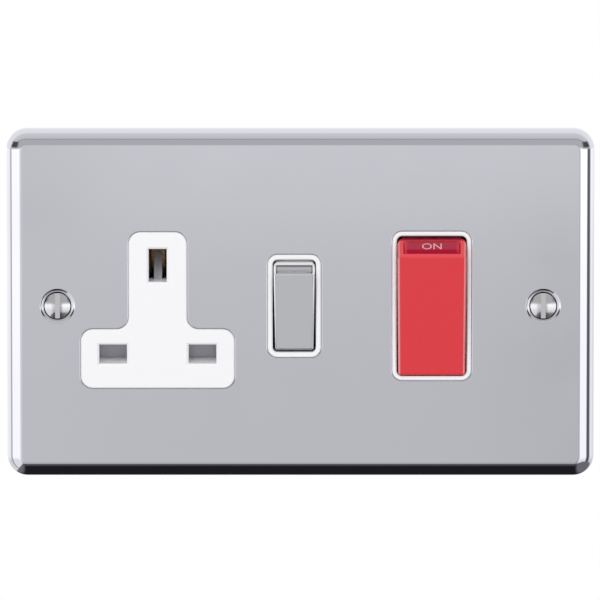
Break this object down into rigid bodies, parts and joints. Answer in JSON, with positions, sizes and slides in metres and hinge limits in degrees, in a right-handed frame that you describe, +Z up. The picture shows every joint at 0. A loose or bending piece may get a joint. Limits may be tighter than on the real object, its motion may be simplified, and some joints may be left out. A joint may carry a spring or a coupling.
{
  "type": "cooker control unit",
  "caption": "Flush cooker control unit: polished metal plate with a red cooker switch, a switched three-pin socket with shutters, and clamp terminals behind.",
  "frame": {"origin": "middle of the plate on the wall plane, midway between the fixing screws", "axes": "+X to the right seen from the front, +Y into the wall, +Z up; the face looks along -Y"},
  "size_m": [0.146, 0.0386, 0.086],
  "materials": {
    "polished_plate": "polished",
    "white_moulding": "gloss",
    "grey_moulding": "matt",
    "red_moulding": "gloss",
    "crimson_lens": "gloss",
    "chromed_moulding": "polished",
    "screw_plating": "bright",
    "shutter_grey": "matt",
    "spring_steel": "plain",
    "contact_brass": "plain"
  },
  "bodies": {
    "root": {"front_plate": "polished_plate", "front_moulding": "white_moulding", "rear_housing": "grey_moulding", "fixing_screws": "screw_plating", "shutter_spring": "spring_steel", "terminal_screws": "screw_plating", "housing_screws": "screw_plating", "plate_clips": "spring_steel", "line_in_strip": "contact_brass", "neutral_in_strip": "contact_brass", "line_out_strip": "contact_brass", "neutral_out_strip": "contact_brass", "line_in_terminal": "contact_brass", "neutral_in_terminal": "contact_brass", "line_out_terminal": "contact_brass", "neutral_out_terminal": "contact_brass", "earth_terminal": "contact_brass", "socket_feed_bar": "contact_brass", "line_contact": "contact_brass", "neutral_contact": "contact_brass", "neutral_link_bar": "contact_brass", "earth_contact": "contact_brass", "plate_earth_strap": "contact_brass"},
    "cooker_rocker": {"cooker_rocker": "red_moulding", "legend_lens": "crimson_lens", "cooker_line_spring": "spring_steel", "cooker_neutral_spring": "spring_steel"},
    "socket_rocker": {"socket_rocker": "chromed_moulding", "socket_spring": "spring_steel"},
    "shutter": {"shutter": "shutter_grey"},
    "cooker_line_plunger": {"cooker_line_plunger": "shutter_grey"},
    "cooker_line_arm": {"cooker_line_arm": "contact_brass"},
    "cooker_neutral_plunger": {"cooker_neutral_plunger": "shutter_grey"},
    "cooker_neutral_arm": {"cooker_neutral_arm": "contact_brass"},
    "socket_plunger": {"socket_plunger": "shutter_grey"},
    "socket_arm": {"socket_arm": "contact_brass"}
  },
  "joints": [
    {"name": "cooker_rocker_tilt", "type": "hinge", "parent": "root", "child": "cooker_rocker", "pos_m": [0.0326, -0.0005, 0], "axis": [-1, 0, 0], "range_deg": [0, 14]},
    {"name": "socket_rocker_tilt", "type": "hinge", "parent": "root", "child": "socket_rocker", "pos_m": [-0.00152, -0.0005, 0], "axis": [-1, 0, 0], "range_deg": [0, 14]},
    {"name": "cooker_line_arm_tilt", "type": "hinge", "parent": "root", "child": "cooker_line_arm", "pos_m": [0.0284, 0.01225, 0], "axis": [1, 0, 0], "range_deg": [0, 16]},
    {"name": "cooker_line_plunger_slide", "type": "slide", "parent": "cooker_rocker", "child": "cooker_line_plunger", "axis": [0, -0.9925, -0.1219], "range_m": [0, 0.0012], "stiffness_N_per_m": 400, "springref_m": -0.001, "deforming": ["cooker_line_spring"]},
    {"name": "cooker_neutral_arm_tilt", "type": "hinge", "parent": "root", "child": "cooker_neutral_arm", "pos_m": [0.0368, 0.01225, 0], "axis": [1, 0, 0], "range_deg": [0, 16]},
    {"name": "cooker_neutral_plunger_slide", "type": "slide", "parent": "cooker_rocker", "child": "cooker_neutral_plunger", "axis": [0, -0.9925, -0.1219], "range_m": [0, 0.0012], "stiffness_N_per_m": 400, "springref_m": -0.001, "deforming": ["cooker_neutral_spring"]},
    {"name": "socket_arm_tilt", "type": "hinge", "parent": "root", "child": "socket_arm", "pos_m": [-0.00152, 0.01225, 0], "axis": [1, 0, 0], "range_deg": [0, 16]},
    {"name": "socket_plunger_slide", "type": "slide", "parent": "socket_rocker", "child": "socket_plunger", "axis": [0, -0.9925, -0.1219], "range_m": [0, 0.0012], "stiffness_N_per_m": 400, "springref_m": -0.001, "deforming": ["socket_spring"]},
    {"name": "shutter_slide", "type": "slide", "parent": "root", "child": "shutter", "axis": [0, 0, -1], "range_m": [0, 0.0059], "stiffness_N_per_m": 100, "springref_m": -0.01, "deforming": ["shutter_spring"]}
  ],
  "couplings": [
    {"joint": "cooker_line_arm_tilt", "follows": "cooker_rocker_tilt", "ratio": 1.1429},
    {"joint": "cooker_neutral_arm_tilt", "follows": "cooker_rocker_tilt", "ratio": 1.1429},
    {"joint": "socket_arm_tilt", "follows": "socket_rocker_tilt", "ratio": 1.1429}
  ]
}
